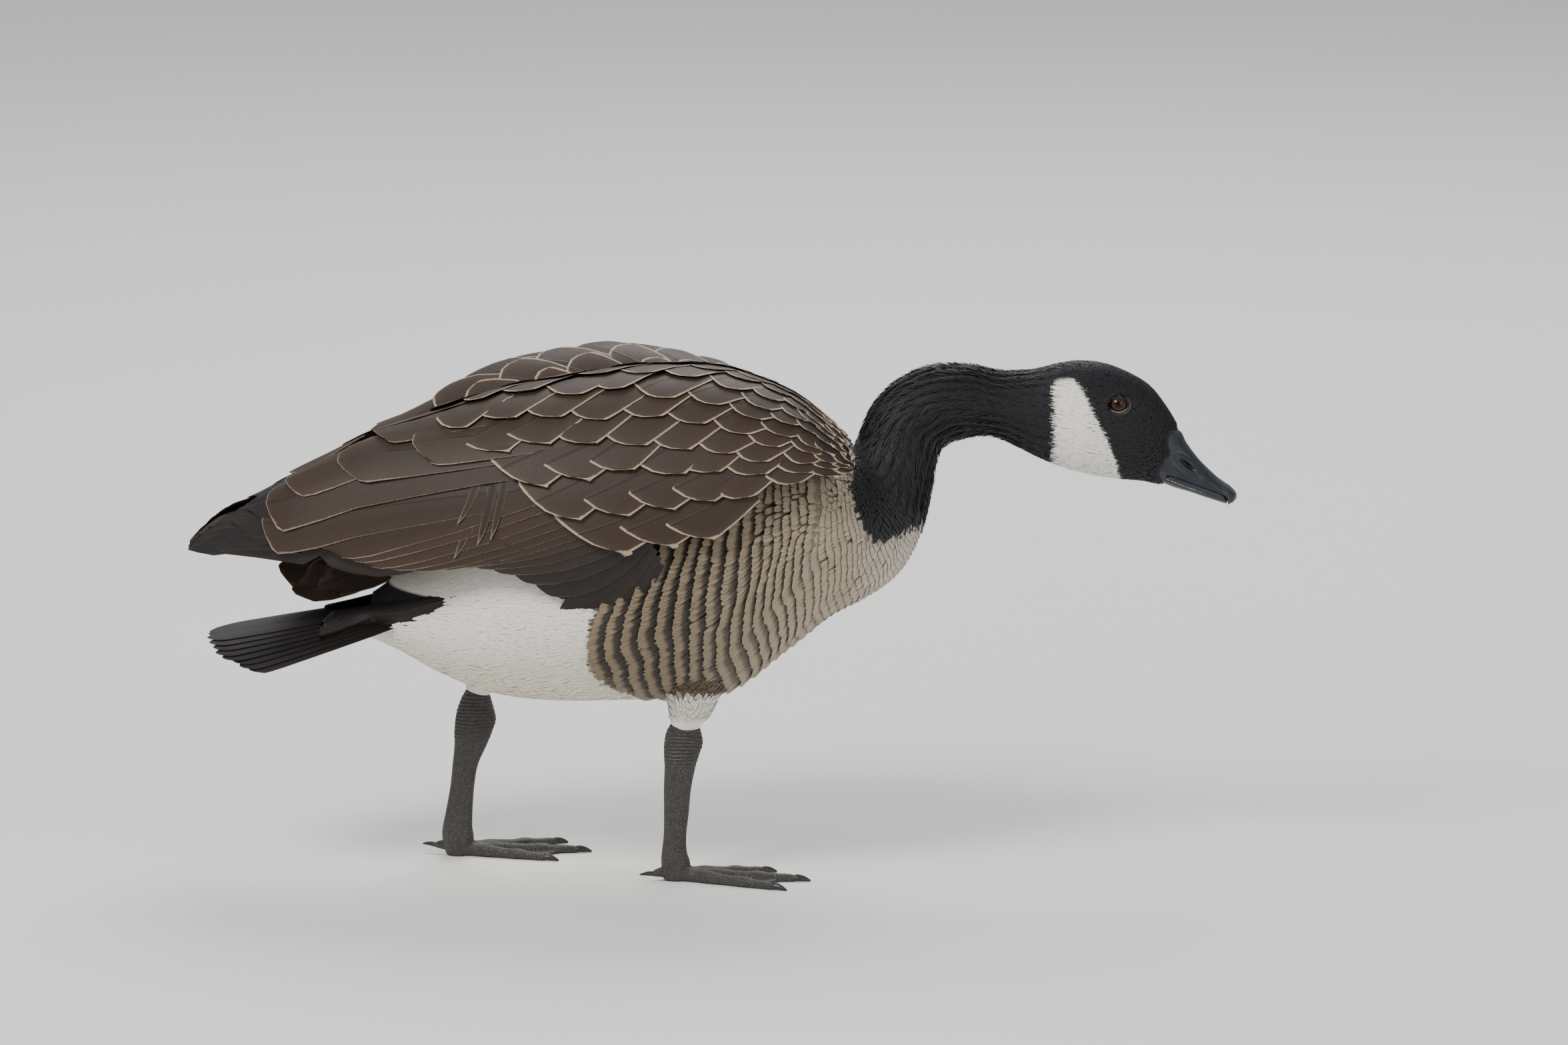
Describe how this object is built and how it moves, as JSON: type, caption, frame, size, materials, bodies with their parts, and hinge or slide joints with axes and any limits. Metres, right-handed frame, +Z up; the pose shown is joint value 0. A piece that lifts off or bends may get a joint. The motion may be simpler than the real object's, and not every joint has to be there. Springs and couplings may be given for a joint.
{
  "type": "canada goose",
  "caption": "Life-size Canada goose standing in mid step, neck low and head held forward, wings folded, feathered body and webbed feet.",
  "frame": {"origin": "on the floor under the middle of the bird's whole length, on its mirror plane", "axes": "+X ahead of the bird towards its bill, +Y to the bird's left, +Z up"},
  "size_m": [0.6902, 0.212, 0.343],
  "materials": {
    "plumage_black": "soft black feathers with a faint sheen",
    "plumage_brown": "dark brown feathers with pale fringes",
    "plumage_dark": "blackish brown flight feathers",
    "plumage_tan": "grey-tan breast feathers, matt",
    "plumage_white": "cream-white down and body feathers, matt",
    "bill": "smooth black horn with a blue-grey sheen",
    "leg_skin": "grey-black scaled skin",
    "eye": "wet dark brown eye"
  },
  "bodies": {
    "root": {"rump": "plumage_white", "belly": "plumage_white", "breast": "plumage_tan", "neck_lower": "plumage_black", "neck_upper": "plumage_black", "head": "plumage_black", "bill_upper": "bill", "bill_lower": "bill", "eye_right": "eye", "eye_left": "eye", "tail": "plumage_black", "wing_right_scapulars": "plumage_brown", "wing_right_coverts": "plumage_brown", "wing_right_secondaries": "plumage_brown", "wing_right_tertials": "plumage_brown", "wing_right_primaries": "plumage_dark", "wing_left_scapulars": "plumage_brown", "wing_left_coverts": "plumage_brown", "wing_left_secondaries": "plumage_brown", "wing_left_tertials": "plumage_brown", "wing_left_primaries": "plumage_dark", "thigh_right": "plumage_white", "shank_right": "leg_skin", "foot_right": "leg_skin", "claw_right_inner": "leg_skin", "claw_right_middle": "leg_skin", "claw_right_outer": "leg_skin", "claw_right_hind": "leg_skin", "thigh_left": "plumage_white", "shank_left": "leg_skin", "foot_left": "leg_skin", "claw_left_inner": "leg_skin", "claw_left_middle": "leg_skin", "claw_left_outer": "leg_skin", "claw_left_hind": "leg_skin"}
  },
  "joints": []
}
